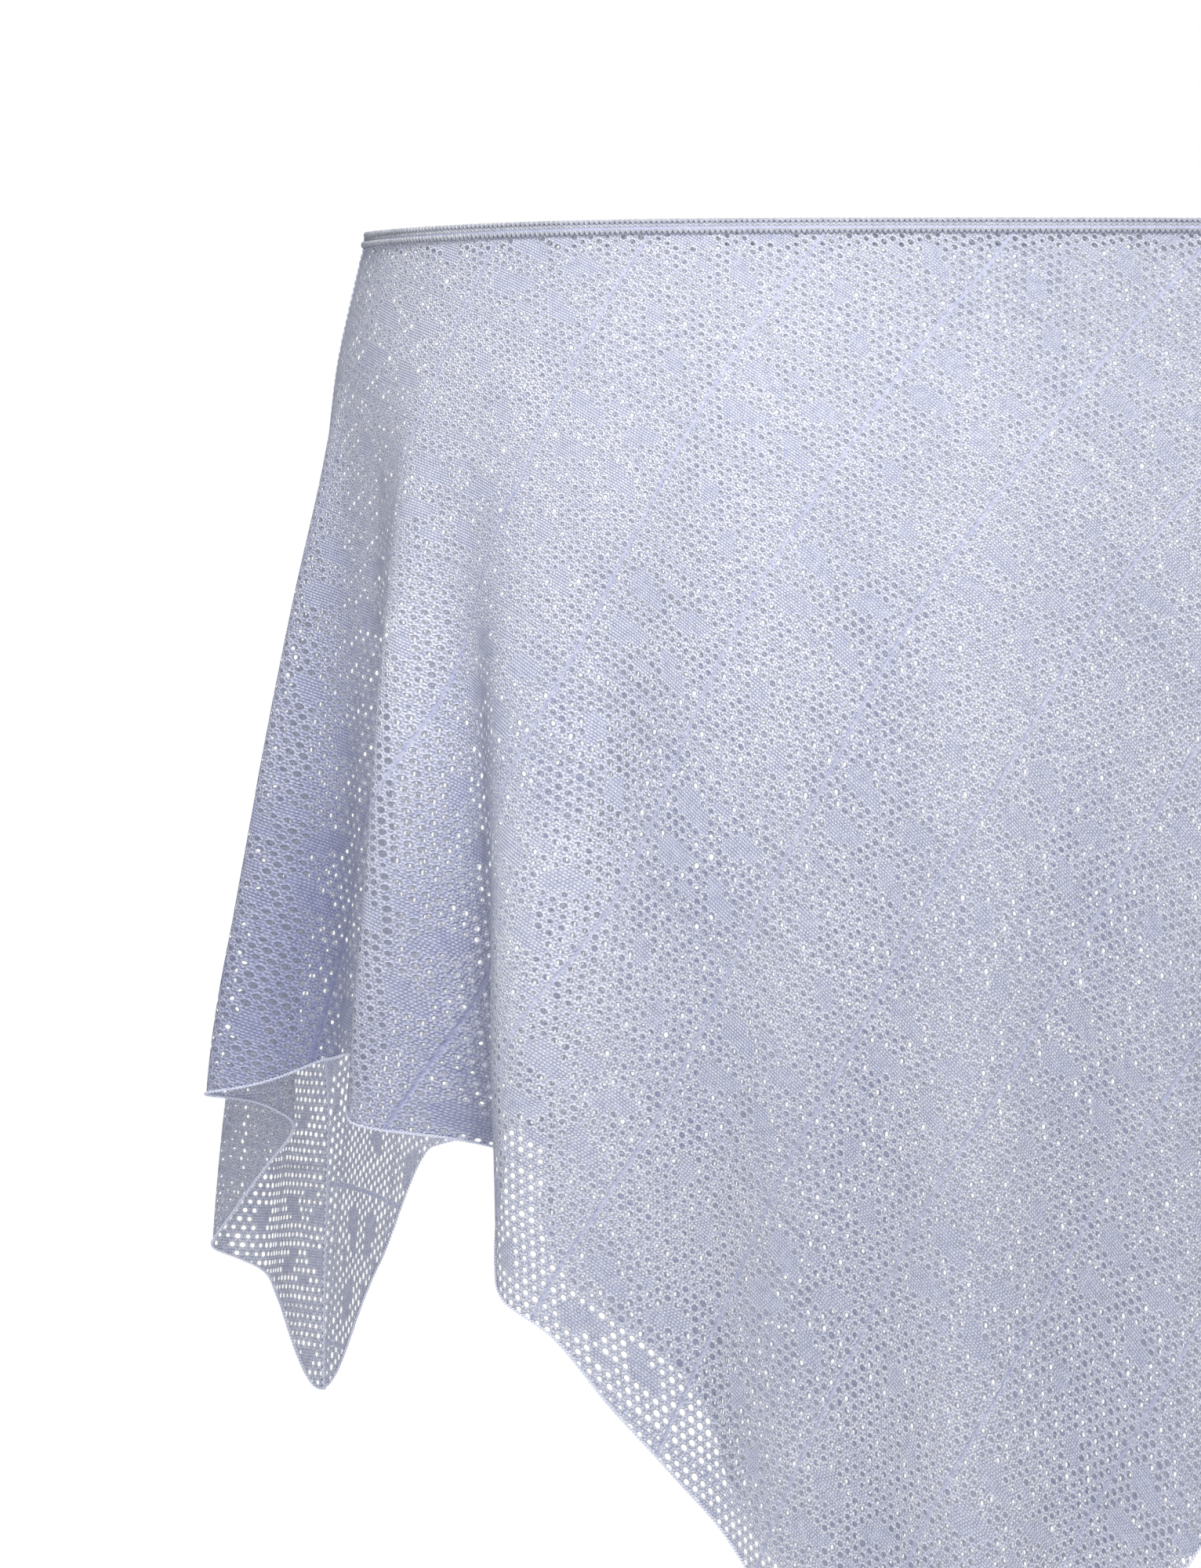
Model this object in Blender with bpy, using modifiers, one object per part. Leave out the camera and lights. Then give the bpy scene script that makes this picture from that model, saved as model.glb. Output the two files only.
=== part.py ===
"""A square lace-knit poncho as it hangs when it is worn off the shoulders.

The cloth is a square with a corner at the front, the back and each side, and a slit-like neck opening.
Front and back panels meet in a seam down each arm, and a narrow trim runs round the neckline.

Metres, +Z up. The front faces -Y, and the origin is the middle of the neckline, level with the trim's top.
An angle round the garment is in degrees: 0 at the front, -90 at the -X arm, 90 at the +X arm, 180 at the back.
A depth is a distance down from the origin's level.
"""

import bpy
import numpy as np

COLLECTION = "crochet_poncho"

WALL = 0.0016
SEAM_GAP = 0.0005
# About how far one radian takes a point along the cloth beside a seam.
SEAM_RADIUS = 0.14
TRIM_HEIGHT = 0.0047
TRIM_THICKNESS = 0.003
TRIM_GAP = 0.0003

FRONT_COLUMNS = 100
BACK_COLUMNS = 64
PANEL_ROWS = 13
TRIM_COLUMNS = 96
# Within these angles of the front's and the back's middle, a mesh column keeps its angle all the way down.
FRONT_STEADY = 78.0
BACK_STEADY = 50.0
# The share of a panel's columns between each seam and there.
SEAM_SHARE = 0.16
# A seam's angle depends on the depth and the depth on the angle, so they are worked out in turns.
SETTLING_PASSES = 6

NECK_HALF_WIDTH = 0.2035
NECK_FRONT = 0.112
NECK_BACK = 0.104
# How far the neckline drops over the arms.
NECK_DIP = 0.003
# A ring is an ellipse pressed flatter over the chest and the back by this share.
FLATNESS = 0.06

# How the garment widens below the neckline.
# depth, half width, distance of the front, distance of the back
RINGS = (
    (0.000, NECK_HALF_WIDTH, NECK_FRONT, NECK_BACK),
    (0.020, 0.2085, 0.121, 0.110),
    (0.050, 0.2150, 0.134, 0.118),
    (0.085, 0.2190, 0.145, 0.125),
    (0.120, 0.2235, 0.150, 0.129),
    (0.160, 0.2275, 0.152, 0.131),
    (0.210, 0.2320, 0.152, 0.132),
    (0.285, 0.2400, 0.150, 0.133),
    (0.400, 0.2440, 0.146, 0.133),
    (0.560, 0.2450, 0.140, 0.130),
)

# The hem, all round: the square's corners hang low and the middle of each side rides high.
# It drops fast where a fold hides a length of it.
# angle, depth
HEM = (
    (-180, 0.540),
    (-170, 0.470),
    (-160, 0.400),
    (-152, 0.355),
    (-147, 0.318),
    (-141, 0.298),
    (-131.3, 0.304),
    (-126.3, 0.343),
    (-117.5, 0.384),
    (-110, 0.355),
    (-101, 0.340),
    (-97, 0.334),
    (-89, 0.297),
    (-84, 0.288),
    (-79, 0.284),
    (-74, 0.274),
    (-66, 0.272),
    (-58, 0.273),
    (-54, 0.284),
    (-51, 0.294),
    (-46, 0.300),
    (-42, 0.306),
    (-38, 0.330),
    (-36, 0.345),
    (-31, 0.361),
    (-27.5, 0.388),
    (-24, 0.411),
    (-21, 0.427),
    (-16, 0.455),
    (-9, 0.500),
    (-2, 0.541),
    (5, 0.500),
    (13, 0.442),
    (19, 0.409),
    (26, 0.384),
    (32, 0.362),
    (37, 0.340),
    (42, 0.308),
    (47, 0.301),
    (52, 0.292),
    (57, 0.275),
    (66, 0.271),
    (78, 0.281),
    (88, 0.292),
    (95, 0.322),
    (105, 0.345),
    (117, 0.384),
    (126, 0.350),
    (132, 0.310),
    (140, 0.298),
    (148, 0.322),
    (158, 0.386),
    (168, 0.452),
    (180, 0.540),
)

# The folds that fall from the shoulders and the chest.
# angle at the hem, half width in degrees, height at the hem, shift along the ring at the hem,
# depth where it starts, how many degrees it leans from its start to the hem
FOLDS = (
    (-178, 4.6, 0.030, 0.004, 0.07, 2),
    (-164, 4.4, 0.033, 0.010, 0.05, 4),
    (-150, 4.8, 0.036, 0.016, 0.04, 7),
    (-137, 3.6, -0.008, 0.000, 0.06, 4),
    (-126, 7.0, 0.010, 0.000, 0.10, 4),
    (-112, 7.0, 0.007, 0.000, 0.14, 0),
    (-98, 4.2, 0.016, 0.000, 0.12, 0),
    (-89, 3.2, -0.012, 0.004, 0.10, 0),
    (-80.5, 2.8, 0.021, -0.002, 0.03, 0),
    (-73, 4.0, -0.014, 0.000, 0.05, 2),
    (-65, 4.5, -0.022, 0.000, 0.04, 5),
    (-51, 3.8, 0.024, -0.010, 0.04, 9),
    (-43.5, 3.8, -0.018, 0.000, 0.08, 7),
    (-33, 6.0, 0.026, -0.017, 0.08, 12),
    (-26, 3.2, 0.004, 0.000, 0.18, 3),
    (-21, 3.5, -0.005, 0.000, 0.21, 2),
    (-15, 4.2, 0.008, -0.003, 0.20, 1),
    (-9.5, 2.6, -0.004, 0.000, 0.24, 0),
    (-3, 3.8, 0.008, 0.000, 0.20, 0),
    (6, 4.0, -0.007, 0.000, 0.18, 0),
    (14, 4.0, 0.010, 0.003, 0.17, 0),
    (24, 4.5, 0.007, 0.003, 0.19, -2),
    (34, 6.0, 0.025, 0.019, 0.08, -11),
    (44, 3.8, -0.017, 0.000, 0.08, -6),
    (52, 3.8, 0.023, 0.010, 0.04, -9),
    (65, 4.5, -0.021, 0.000, 0.04, -5),
    (73.5, 4.0, -0.013, 0.000, 0.05, -2),
    (81, 3.0, 0.020, 0.002, 0.03, 0),
    (90, 3.2, -0.010, -0.003, 0.10, 0),
    (99, 4.4, 0.011, 0.000, 0.12, 0),
    (112, 7.0, 0.006, 0.000, 0.14, 0),
    (127, 7.0, 0.010, 0.000, 0.10, -4),
    (137, 3.6, -0.008, 0.000, 0.06, -4),
    (149, 4.8, 0.036, -0.016, 0.04, -7),
    (165, 4.6, 0.032, -0.008, 0.05, -4),
)

# How a fold grows on its way down: how slowly it sets out, and how much sooner than evenly it fills out.
FOLD_POWER = 1.5
FOLD_HASTE = 1.2

# Where the seam down each arm runs: it starts on top of the arm and ends at the side corner.
# depth, angle of the -X seam, angle of the +X seam
SEAMS = (
    (0.00, -90.0, 90.0),
    (0.10, -96.0, 95.0),
    (0.20, -107.0, 105.0),
    (0.30, -117.0, 114.0),
    (0.385, -118.0, 117.0),
)

YARN = (0.52, 0.56, 0.70, 1.0)
YARN_ROUGHNESS = 0.55


def smooth_curve(xs, ys, at):
    """Read a smooth curve through the points, without overshoot between them."""
    xs, ys = np.asarray(xs, float), np.asarray(ys, float)
    step = np.diff(xs)
    slope = np.diff(ys) / step
    inner = np.where(
        slope[:-1] * slope[1:] > 0,
        2 * slope[:-1] * slope[1:] / np.where(slope[:-1] + slope[1:] == 0, 1, slope[:-1] + slope[1:]),
        0,
    )
    tangent = np.concatenate([[slope[0]], inner, [slope[-1]]])
    at = np.clip(at, xs[0], xs[-1])
    i = np.clip(np.searchsorted(xs, at, side="right") - 1, 0, len(step) - 1)
    u = (at - xs[i]) / step[i]
    return (
        ys[i] * (1 + 2 * u) * (1 - u) ** 2
        + ys[i + 1] * u**2 * (3 - 2 * u)
        + step[i] * u * (1 - u) * ((1 - u) * tangent[i] - u * tangent[i + 1])
    )


def column(table, index):
    return [row[index] for row in table]


def neck_depth(angle):
    """How far the trim's top is below the origin's level."""
    return NECK_DIP * np.sin(np.radians(angle)) ** 4


def hem_depth(angle):
    return smooth_curve(column(HEM, 0), column(HEM, 1), angle)


def ring_point(angle, depth):
    """A point of the unfolded form, and the directions out of it and along it."""
    t = np.radians(angle)
    half, front, back = (smooth_curve(column(RINGS, 0), column(RINGS, k), depth) for k in (1, 2, 3))
    reach = (front + back) / 2 + (front - back) / 2 * np.cos(t)
    round_y = (np.cos(t) - FLATNESS * np.cos(3 * t)) / (1 - FLATNESS)
    turn_y = (-np.sin(t) + 3 * FLATNESS * np.sin(3 * t)) / (1 - FLATNESS)
    along_x, along_y = half * np.cos(t), -reach * turn_y
    size = np.hypot(along_x, along_y)
    along_x, along_y = along_x / size, along_y / size
    return half * np.sin(t), -reach * round_y, along_x, along_y


def folds_at(angle, depth):
    """How far the folds move a point out of the form and along it."""
    out, along = np.zeros_like(depth), np.zeros_like(depth)
    for middle, half_width, height, shift, start, lean in FOLDS:
        grown = np.clip((depth - start) / (hem_depth(middle) - start), 0, 1)
        grown = grown**FOLD_POWER * (1 + FOLD_HASTE * (1 - grown))
        away = (angle - middle + lean * (1 - grown) + 180) % 360 - 180
        bump = np.exp(-((away / half_width) ** 2)) * grown
        out += height * bump
        along += shift * bump
    return out, along


def cloth_point(angle, depth):
    """The middle of the wall at an angle and a depth."""
    x, y, along_x, along_y = ring_point(angle, depth)
    out, along = folds_at(angle, depth)
    return x + out * along_y + along * along_x, y - out * along_x + along * along_y, -depth


def seam_angles(depth):
    return (smooth_curve(column(SEAMS, 0), column(SEAMS, k), depth) for k in (1, 2))


def spread_angles(across, start, end, steady_start, steady_end):
    """Angles from one seam to the other. Between the steady ones they don't depend on where the seams are."""
    left = start + (steady_start - start) * across / SEAM_SHARE
    right = end + (steady_end - end) * (1 - across) / SEAM_SHARE
    middle = steady_start + (steady_end - steady_start) * (across - SEAM_SHARE) / (1 - 2 * SEAM_SHARE)
    return np.where(across < SEAM_SHARE, left, np.where(across > 1 - SEAM_SHARE, right, middle))


def panel_grid(columns, is_front):
    """Points of a panel, a row at each level from the neckline to the hem."""
    across, down = np.meshgrid(np.linspace(0, 1, columns + 1), np.linspace(0, 1, PANEL_ROWS + 1))
    half_gap = np.degrees(SEAM_GAP / 2 / SEAM_RADIUS)
    depth = np.zeros_like(across)
    for _ in range(SETTLING_PASSES):
        left, right = seam_angles(depth)
        if is_front:
            angle = spread_angles(across, left + half_gap, right - half_gap, -FRONT_STEADY, FRONT_STEADY)
        else:
            angle = spread_angles(
                across, right + half_gap, left + 360 - half_gap, 180 - BACK_STEADY, 180 + BACK_STEADY
            )
        around = (angle + 180) % 360 - 180
        top = neck_depth(around) + TRIM_HEIGHT + TRIM_GAP
        depth = top + (hem_depth(around) - top) * down
    return np.stack(cloth_point(around, depth), axis=-1)


def surface_mesh(name, grid, is_ring=False):
    """An open surface through a grid of points, facing out of the garment."""
    rows, columns = grid.shape[:2]
    faces = []
    for r in range(rows - 1):
        for c in range(columns if is_ring else columns - 1):
            d = (c + 1) % columns
            faces.append((r * columns + c, (r + 1) * columns + c, (r + 1) * columns + d, r * columns + d))
    mesh = bpy.data.meshes.new(name)
    mesh.from_pydata(grid.reshape(-1, 3).tolist(), [], faces)
    mesh.shade_smooth()
    return mesh


def knit_material(name):
    material = bpy.data.materials.new(name)
    material.use_nodes = True
    shader = material.node_tree.nodes["Principled BSDF"]
    shader.inputs["Base Color"].default_value = YARN
    shader.inputs["Roughness"].default_value = YARN_ROUGHNESS
    shader.inputs["Metallic"].default_value = 0.0
    return material


def add_wall(name, mesh, thickness, collection):
    """A named sub-part: a surface with its thickness set evenly to both sides."""
    piece = bpy.data.objects.new(name, mesh)
    piece.data.materials.append(knit_material(name + "_yarn"))
    solidify = piece.modifiers.new("thickness", "SOLIDIFY")
    solidify.thickness = thickness
    solidify.offset = 0.0
    solidify.use_even_offset = False
    collection.objects.link(piece)
    return piece


def trim_grid():
    """Two rings of points, at the top and the bottom of the neck trim."""
    angle = np.linspace(-180, 180, TRIM_COLUMNS, endpoint=False)
    top = neck_depth(angle)
    rows = [np.stack(cloth_point(angle, top + down), axis=-1) for down in (0.0, TRIM_HEIGHT)]
    return np.stack(rows)


def build_poncho():
    for old in list(bpy.data.objects):
        bpy.data.objects.remove(old)
    collection = bpy.data.collections.new(COLLECTION)
    bpy.context.scene.collection.children.link(collection)
    front = surface_mesh("front_panel", panel_grid(FRONT_COLUMNS, True))
    back = surface_mesh("back_panel", panel_grid(BACK_COLUMNS, False))
    trim = surface_mesh("neck_trim", trim_grid(), is_ring=True)
    add_wall("front_panel", front, WALL, collection)
    add_wall("back_panel", back, WALL, collection)
    add_wall("neck_trim", trim, TRIM_THICKNESS, collection)


build_poncho()
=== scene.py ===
"""A lace-knit poncho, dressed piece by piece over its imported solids.

Metres, +Z up, and the front faces -Y. An angle round the garment is in degrees: 0 at the front, -90 at the
-X arm, 90 at the +X arm, 180 at the back. A depth is a distance down from the neckline's level.
"""

import math

import bpy
import numpy as np
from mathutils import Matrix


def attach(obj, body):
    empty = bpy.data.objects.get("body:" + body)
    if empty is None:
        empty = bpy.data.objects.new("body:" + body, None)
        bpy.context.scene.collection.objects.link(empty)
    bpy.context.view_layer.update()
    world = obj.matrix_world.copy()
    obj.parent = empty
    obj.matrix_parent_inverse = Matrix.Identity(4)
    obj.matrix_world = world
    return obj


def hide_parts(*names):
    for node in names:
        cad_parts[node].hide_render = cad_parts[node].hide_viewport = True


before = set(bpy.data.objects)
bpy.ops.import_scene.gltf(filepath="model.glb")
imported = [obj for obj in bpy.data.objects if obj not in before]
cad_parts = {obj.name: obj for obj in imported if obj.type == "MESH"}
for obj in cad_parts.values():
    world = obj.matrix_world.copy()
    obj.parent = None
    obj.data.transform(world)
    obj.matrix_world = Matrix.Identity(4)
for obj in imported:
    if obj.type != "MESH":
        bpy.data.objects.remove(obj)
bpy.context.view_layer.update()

bl_info = {
    "name": "Lace-knit poncho",
    "version": (1, 0, 0),
    "blender": (4, 5, 0),
    "location": "View3D > Sidebar > Poncho",
    "description": "Makes the lace cloth, the edges and the seams of a square knitted poncho",
    "category": "Add Mesh",
}


# The hanging form. Each table is read as a smooth curve.

NECK_DIP = 0.003
TRIM_HEIGHT = 0.0047
FLATNESS = 0.06
SEAM_GAP = 0.0005
SEAM_RADIUS = 0.14
FRONT_STEADY = 78.0
BACK_STEADY = 50.0
SEAM_SHARE = 0.16
SETTLING_PASSES = 6

# depth, half width, distance of the front, distance of the back
RINGS = (
    (0.000, 0.2035, 0.112, 0.104),
    (0.020, 0.2085, 0.121, 0.110),
    (0.050, 0.2150, 0.134, 0.118),
    (0.085, 0.2190, 0.145, 0.125),
    (0.120, 0.2235, 0.150, 0.129),
    (0.160, 0.2275, 0.152, 0.131),
    (0.210, 0.2320, 0.152, 0.132),
    (0.285, 0.2400, 0.150, 0.133),
    (0.400, 0.2440, 0.146, 0.133),
    (0.560, 0.2450, 0.140, 0.130),
)

# angle, depth of the hem
HEM = (
    (-180, 0.540), (-170, 0.470), (-160, 0.400), (-152, 0.355), (-147, 0.318), (-141, 0.298),
    (-131.3, 0.304), (-126.3, 0.343), (-117.5, 0.384), (-110, 0.355), (-101, 0.340), (-97, 0.334),
    (-89, 0.297), (-84, 0.288), (-79, 0.284), (-74, 0.274), (-66, 0.272), (-58, 0.273),
    (-54, 0.284), (-51, 0.294), (-46, 0.300), (-42, 0.306), (-38, 0.330), (-36, 0.345),
    (-31, 0.361), (-27.5, 0.388), (-24, 0.411), (-21, 0.427), (-16, 0.455), (-9, 0.500),
    (-2, 0.541), (5, 0.500), (13, 0.442), (19, 0.409), (26, 0.384), (32, 0.362),
    (37, 0.340), (42, 0.308), (47, 0.301), (52, 0.292), (57, 0.275), (66, 0.271),
    (78, 0.281), (88, 0.292), (95, 0.322), (105, 0.345), (117, 0.384), (126, 0.350),
    (132, 0.310), (140, 0.298), (148, 0.322), (158, 0.386), (168, 0.452), (180, 0.540),
)

# angle at the hem, half width, height, shift along the ring, depth where it starts, lean
FOLDS = (
    (-178, 4.6, 0.030, 0.004, 0.07, 2), (-164, 4.4, 0.033, 0.010, 0.05, 4),
    (-150, 4.8, 0.036, 0.016, 0.04, 7), (-137, 3.6, -0.008, 0.000, 0.06, 4),
    (-126, 7.0, 0.010, 0.000, 0.10, 4), (-112, 7.0, 0.007, 0.000, 0.14, 0),
    (-98, 4.2, 0.016, 0.000, 0.12, 0), (-89, 3.2, -0.012, 0.004, 0.10, 0),
    (-80.5, 2.8, 0.021, -0.002, 0.03, 0), (-73, 4.0, -0.014, 0.000, 0.05, 2),
    (-65, 4.5, -0.022, 0.000, 0.04, 5), (-51, 3.8, 0.024, -0.010, 0.04, 9),
    (-43.5, 3.8, -0.018, 0.000, 0.08, 7), (-33, 6.0, 0.026, -0.017, 0.08, 12),
    (-26, 3.2, 0.004, 0.000, 0.18, 3), (-21, 3.5, -0.005, 0.000, 0.21, 2),
    (-15, 4.2, 0.008, -0.003, 0.20, 1), (-9.5, 2.6, -0.004, 0.000, 0.24, 0),
    (-3, 3.8, 0.008, 0.000, 0.20, 0), (6, 4.0, -0.007, 0.000, 0.18, 0),
    (14, 4.0, 0.010, 0.003, 0.17, 0), (24, 4.5, 0.007, 0.003, 0.19, -2),
    (34, 6.0, 0.025, 0.019, 0.08, -11), (44, 3.8, -0.017, 0.000, 0.08, -6),
    (52, 3.8, 0.023, 0.010, 0.04, -9), (65, 4.5, -0.021, 0.000, 0.04, -5),
    (73.5, 4.0, -0.013, 0.000, 0.05, -2), (81, 3.0, 0.020, 0.002, 0.03, 0),
    (90, 3.2, -0.010, -0.003, 0.10, 0), (99, 4.4, 0.011, 0.000, 0.12, 0),
    (112, 7.0, 0.006, 0.000, 0.14, 0), (127, 7.0, 0.010, 0.000, 0.10, -4),
    (137, 3.6, -0.008, 0.000, 0.06, -4), (149, 4.8, 0.036, -0.016, 0.04, -7),
    (165, 4.6, 0.032, -0.008, 0.05, -4),
)

# How a fold grows on its way down: how slowly it sets out, and how much sooner than evenly it fills out.
FOLD_POWER = 1.5
FOLD_HASTE = 1.2

# Painted shade in the hollows between the folds, where little light comes.
# angle at the hem, half width in degrees, strength
PAINTED_SHADE_HOLLOWS = (
    (-171, 5, 0.7),
    (-157, 5, 0.7),
    (-142, 5, 0.6),
    (-75, 7, 1.0),
    (-47, 5, 0.6),
    (48, 5, 0.6),
    (75, 7, 1.0),
    (142, 5, 0.6),
    (157, 5, 0.7),
    (172, 5, 0.7),
)
# The painted shade begins at this depth and is full at the next.
PAINTED_SHADE_START = 0.05
PAINTED_SHADE_FULL = 0.22

# The flat cloth is worked out this many degrees to each side of a panel's middle, on this many columns
# to a side and this many rows.
FLAT_REACH = 130.0
FLAT_COLUMNS = 260
FLAT_ROWS = 150

# How far down the cloth its widening is measured, over how many columns it is smoothed, and over how many
# degrees it grows beside a seam.
FAN_DEPTH = 0.8
FAN_SMOOTHING = 15
FAN_FADE = 10.0

# depth, angle of the -X seam, angle of the +X seam
SEAMS = (
    (0.00, -90.0, 90.0),
    (0.10, -96.0, 95.0),
    (0.20, -107.0, 105.0),
    (0.30, -117.0, 114.0),
    (0.385, -118.0, 117.0),
)

# How the knit stretches as it hangs: length down the worn cloth, length down the flat cloth.
HANGING_STRETCH = (
    (0.0, 0.0),
    (0.072, 0.0705),
    (0.134, 0.1306),
    (0.206, 0.1907),
    (0.279, 0.2508),
    (0.348, 0.3109),
    (0.422, 0.3710),
    (0.600, 0.5200),
)

# Leaves of the lace, which have no holes: place and half sizes in blocks, and tilt in degrees.
PETALS = (
    ((-0.25, 0.168), (0.155, 0.080), -21),
    ((0.185, 0.178), (0.165, 0.080), 31),
    ((-0.02, 0.312), (0.075, 0.062), 0),
)
LENSES = (
    ((-0.17, 0.15), (0.115, 0.075), -45),
    ((0.15, -0.15), (0.115, 0.075), -45),
)
# A band of smaller holes starts this far from a block's middle, in blocks.
BAND_START = 0.47

# Lengths in the materials, in metres.
HOLE_SOFTNESS = 0.00012
STRAND_PLACE = 0.0003
STRAND_REACH = 0.00045
LACE_RELIEF = 0.0009
YARN_RELIEF = 0.0002

# Shares in the materials.
HOLE_STRETCH = 0.86
STITCHES_TO_A_HOLE = 3.0
SHEEN_ROUGHNESS = 0.45

# How fine each random pattern is, in features to a metre.
WARP_SCALE = 55.0
PATCH_SCALE = 16.0
GRAIN_SCALE = 430.0
PLY_SCALE = 900.0
YARN_PATCH_SCALE = 40.0

# Legs of the stitches: the start, middle and end of each, in steps along the line, across it and outward.
TRIM_LEGS = (
    ((-0.02, -0.42, 0.0), (-0.20, 0.05, 0.28), (-0.46, 0.42, 0.0)),
    ((0.02, -0.42, 0.0), (0.20, 0.05, 0.28), (0.46, 0.42, 0.0)),
)
HEM_LEGS = (
    ((-0.62, -0.30, 0.12), (0.0, 0.0, 0.52), (0.62, 0.30, 0.12)),
    ((-0.62, 0.30, -0.12), (0.0, 0.0, -0.52), (0.62, -0.30, -0.12)),
)
SEAM_LEGS = (
    ((-0.5, -0.34, -0.06), (0.0, 0.0, 0.2), (0.5, 0.34, -0.06)),
    ((-0.5, 0.34, -0.06), (0.0, 0.0, 0.12), (0.5, -0.34, -0.06)),
)

# How far the rows of the trim's stitches stand off the cloth's middle, from the top down.
TRIM_LIFTS = (0.0008, 0.0003, 0.0008)
# How far the seams' stitches do, outside and inside, and where the seams end.
SEAM_LIFT = 0.0002
SEAM_END = 0.3835

# The trim's core: its sides, half its thickness and half its height as a share of the trim's.
BAND_SIDES = 10
BAND_HALF = 0.0007
BAND_SHARE = 0.46

# Points on each line that stitches follow.
RING_POINTS = 1200
BAND_POINTS = 600
HEM_POINTS = 1600
SEAM_POINTS = 700

# The stage.
MIDDLE = (-0.128, -0.05, -0.184)
FLOOR_HALF = 2.5
FLOOR_LEVEL = -0.62
FLOOR_COLOUR = (0.86, 0.86, 0.87)
FLOOR_FADE = (0.9, 2.2)
SKY_TINT = (0.86, 0.89, 1.0)
SENSOR = 36.0

# setting that holds its power, width, place
AREA_LIGHTS = (
    ("key", 1.0, (0.45, -2.0, 2.7)),
    ("fill", 2.0, (-0.9, -2.6, 0.4)),
    ("back", 2.0, (0.2, 2.6, 1.6)),
)
CHEST_LIGHT_PLACE = (0.15, -1.7, 0.75)
CHEST_LIGHT_TARGET = (-0.10, -0.14, -0.07)
CHEST_LIGHT_ANGLE = 13
CHEST_LIGHT_RADIUS = 0.1


def smooth_curve(xs, ys, at):
    """Read a smooth curve through the points, without overshoot between them."""
    xs, ys = np.asarray(xs, float), np.asarray(ys, float)
    step = np.diff(xs)
    slope = np.diff(ys) / step
    inner = np.where(
        slope[:-1] * slope[1:] > 0,
        2 * slope[:-1] * slope[1:] / np.where(slope[:-1] + slope[1:] == 0, 1, slope[:-1] + slope[1:]),
        0,
    )
    tangent = np.concatenate([[slope[0]], inner, [slope[-1]]])
    at = np.clip(at, xs[0], xs[-1])
    i = np.clip(np.searchsorted(xs, at, side="right") - 1, 0, len(step) - 1)
    u = (at - xs[i]) / step[i]
    return (
        ys[i] * (1 + 2 * u) * (1 - u) ** 2
        + ys[i + 1] * u**2 * (3 - 2 * u)
        + step[i] * u * (1 - u) * ((1 - u) * tangent[i] - u * tangent[i + 1])
    )


def read(table, index, at):
    return smooth_curve([row[0] for row in table], [row[index] for row in table], at)


def neck_depth(angle):
    return NECK_DIP * np.sin(np.radians(angle)) ** 4


def hem_depth(angle):
    return read(HEM, 1, angle)


def ring_point(angle, depth):
    """A point of the unfolded form, and the direction along it."""
    t = np.radians(angle)
    half, front, back = (read(RINGS, k, depth) for k in (1, 2, 3))
    reach = (front + back) / 2 + (front - back) / 2 * np.cos(t)
    round_y = (np.cos(t) - FLATNESS * np.cos(3 * t)) / (1 - FLATNESS)
    turn_y = (-np.sin(t) + 3 * FLATNESS * np.sin(3 * t)) / (1 - FLATNESS)
    along_x, along_y = half * np.cos(t), -reach * turn_y
    size = np.hypot(along_x, along_y)
    return half * np.sin(t), -reach * round_y, along_x / size, along_y / size


def folds_at(angle, depth):
    """How far the folds move a point out of the form and along it."""
    out, along = np.zeros_like(depth), np.zeros_like(depth)
    for middle, half_width, height, shift, start, lean in FOLDS:
        grown = np.clip((depth - start) / (hem_depth(middle) - start), 0, 1)
        grown = grown**FOLD_POWER * (1 + FOLD_HASTE * (1 - grown))
        away = (angle - middle + lean * (1 - grown) + 180) % 360 - 180
        bump = np.exp(-((away / half_width) ** 2)) * grown
        out += height * bump
        along += shift * bump
    return out, along


def painted_shade_at(angle, depth):
    """How much painted shade a point gets between the folds, from 0 to 1."""
    grown = np.clip((depth - PAINTED_SHADE_START) / (PAINTED_SHADE_FULL - PAINTED_SHADE_START), 0, 1)
    share = np.zeros_like(depth)
    for middle, half_width, strength in PAINTED_SHADE_HOLLOWS:
        away = (angle - middle + 180) % 360 - 180
        share += strength * grown * np.exp(-((away / half_width) ** 2))
    return np.clip(share, 0, 1)


def cloth_point(angle, depth, lift=0.0):
    """A point of the hanging cloth, lifted off its middle by a distance."""
    x, y, along_x, along_y = ring_point(angle, depth)
    out, along = folds_at(angle, depth)
    out = out + lift
    x, y = x + out * along_y + along * along_x, y - out * along_x + along * along_y
    return np.stack([x, y, -depth], axis=-1)


def outward_at(angle, depth):
    """The level direction out of the unfolded form."""
    _, _, along_x, along_y = ring_point(angle, depth)
    return np.stack([along_y, -along_x, np.zeros_like(angle)], axis=-1)


def spread_angles(across, start, end, steady_start, steady_end):
    """Angles from one seam to the other. Between the steady ones they don't depend on where the seams are."""
    left = start + (steady_start - start) * across / SEAM_SHARE
    right = end + (steady_end - end) * (1 - across) / SEAM_SHARE
    middle = steady_start + (steady_end - steady_start) * (across - SEAM_SHARE) / (1 - 2 * SEAM_SHARE)
    return np.where(across < SEAM_SHARE, left, np.where(across > 1 - SEAM_SHARE, right, middle))


def panel_places(columns, rows, is_front):
    """Angle and depth of each point of a panel, a row at each level from the neckline to the hem."""
    across, down = np.meshgrid(np.linspace(0, 1, columns + 1), np.linspace(0, 1, rows + 1))
    half_gap = math.degrees(SEAM_GAP / 2 / SEAM_RADIUS)
    depth = np.zeros_like(across)
    for _ in range(SETTLING_PASSES):
        left, right = read(SEAMS, 1, depth), read(SEAMS, 2, depth)
        if is_front:
            angle = spread_angles(across, left + half_gap, right - half_gap, -FRONT_STEADY, FRONT_STEADY)
        else:
            angle = spread_angles(
                across, right + half_gap, left + 360 - half_gap, 180 - BACK_STEADY, 180 + BACK_STEADY
            )
        around = (angle + 180) % 360 - 180
        top = neck_depth(around) + TRIM_HEIGHT / 2
        depth = top + (hem_depth(around) - top) * down
    return around, depth


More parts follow.
